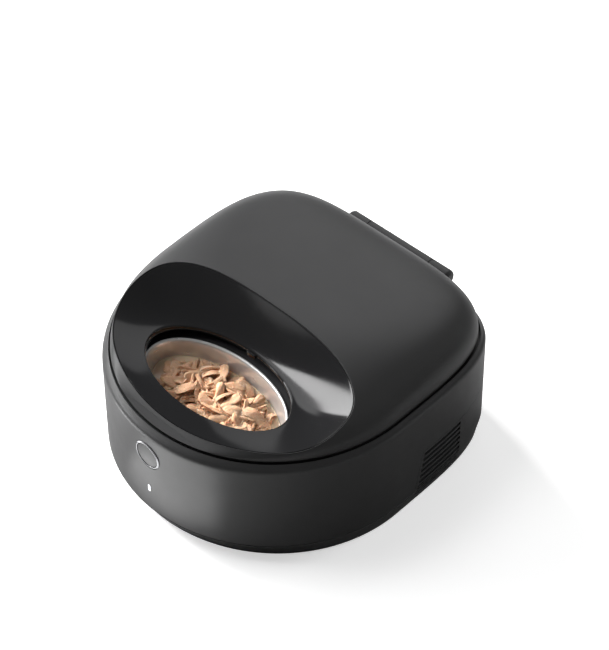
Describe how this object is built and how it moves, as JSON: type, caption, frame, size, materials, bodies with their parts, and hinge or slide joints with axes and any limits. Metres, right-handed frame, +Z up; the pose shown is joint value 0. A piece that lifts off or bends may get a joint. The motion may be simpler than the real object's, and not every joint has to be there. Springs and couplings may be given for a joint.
{
  "type": "automatic wet food feeder",
  "caption": "Chilled automatic wet food feeder with a domed lid, a scooped serving opening, oval steel bowls on a turntable and a front button",
  "frame": {"origin": "centre of the footprint of the whole, on the floor", "axes": "the front faces -Y, +X is to the right seen from the front, +Z is up"},
  "size_m": [0.319, 0.3424, 0.1679],
  "materials": {
    "charcoal_shell": "fine satin texture",
    "gloss_black": "polished",
    "bowl_steel": "spun satin",
    "chrome_trim": "polished",
    "black_rubber": "matt",
    "white_foam": "cellular",
    "inner_plastic": "fine satin",
    "circuit_board": "solder mask",
    "bare_aluminium": "extruded",
    "white_nylon": "moulded",
    "light_lens": "lit lens",
    "wet_food": "moist, shredded"
  },
  "bodies": {
    "base": {"base_housing": "charcoal_shell", "bottom_cover": "charcoal_shell", "rear_grille": "charcoal_shell", "foot_1": "black_rubber", "foot_2": "black_rubber", "foot_3": "black_rubber", "foot_4": "black_rubber", "cover_screw_1": "bowl_steel", "cover_screw_2": "bowl_steel", "cover_screw_3": "bowl_steel", "cover_screw_4": "bowl_steel", "well_liner": "inner_plastic", "well_insulation": "white_foam", "button_bezel": "chrome_trim", "tact_switch": "black_rubber", "control_board": "circuit_board", "status_light": "light_lens", "main_board": "circuit_board", "power_inlet": "black_rubber", "drive_motor": "bare_aluminium", "spindle_seat": "white_nylon", "spindle_bearing": "white_nylon", "cold_plate": "bare_aluminium", "peltier_module": "white_foam", "heat_sink": "bare_aluminium", "fan_frame": "inner_plastic", "hinge_bracket_left": "charcoal_shell", "hinge_bracket_right": "charcoal_shell", "hinge_pin": "bowl_steel"},
    "lid": {"lid_shell": "charcoal_shell", "lid_scoop": "gloss_black", "lid_liner": "inner_plastic", "lid_gasket": "black_rubber", "lid_insulation": "white_foam", "food_sensor": "gloss_black", "hinge_tongue": "charcoal_shell"},
    "carousel": {"turntable": "inner_plastic", "drive_spindle": "bowl_steel", "spindle_gear": "white_nylon", "food_tray": "inner_plastic", "food_bowl_1": "bowl_steel", "food_bowl_2": "bowl_steel", "food_bowl_3": "bowl_steel", "food_serving": "wet_food"},
    "pinion": {"motor_pinion": "white_nylon"},
    "fan": {"fan_rotor": "black_rubber"},
    "button": {"power_button": "charcoal_shell"}
  },
  "joints": [
    {"name": "lid_hinge", "type": "hinge", "parent": "base", "child": "lid", "pos_m": [0, 0.16275, 0.1231], "axis": [-1, 0, 0], "range_deg": [0, 95]},
    {"name": "carousel_spin", "type": "hinge", "parent": "base", "child": "carousel", "pos_m": [0, 0.00325, 0], "axis": [0, 0, 1], "continuous": true},
    {"name": "pinion_spin", "type": "hinge", "parent": "base", "child": "pinion", "pos_m": [-0.03394, -0.03069, 0], "axis": [0, 0, 1], "continuous": true},
    {"name": "fan_spin", "type": "hinge", "parent": "base", "child": "fan", "pos_m": [0, 0.1, 0.0303], "axis": [0, 1, 0], "continuous": true},
    {"name": "button_press", "type": "slide", "parent": "base", "child": "button", "axis": [0, 1, 0], "range_m": [0, 0.0012], "stiffness_N_per_m": 800}
  ],
  "couplings": [
    {"joint": "pinion_spin", "follows": "carousel_spin", "ratio": -3}
  ]
}
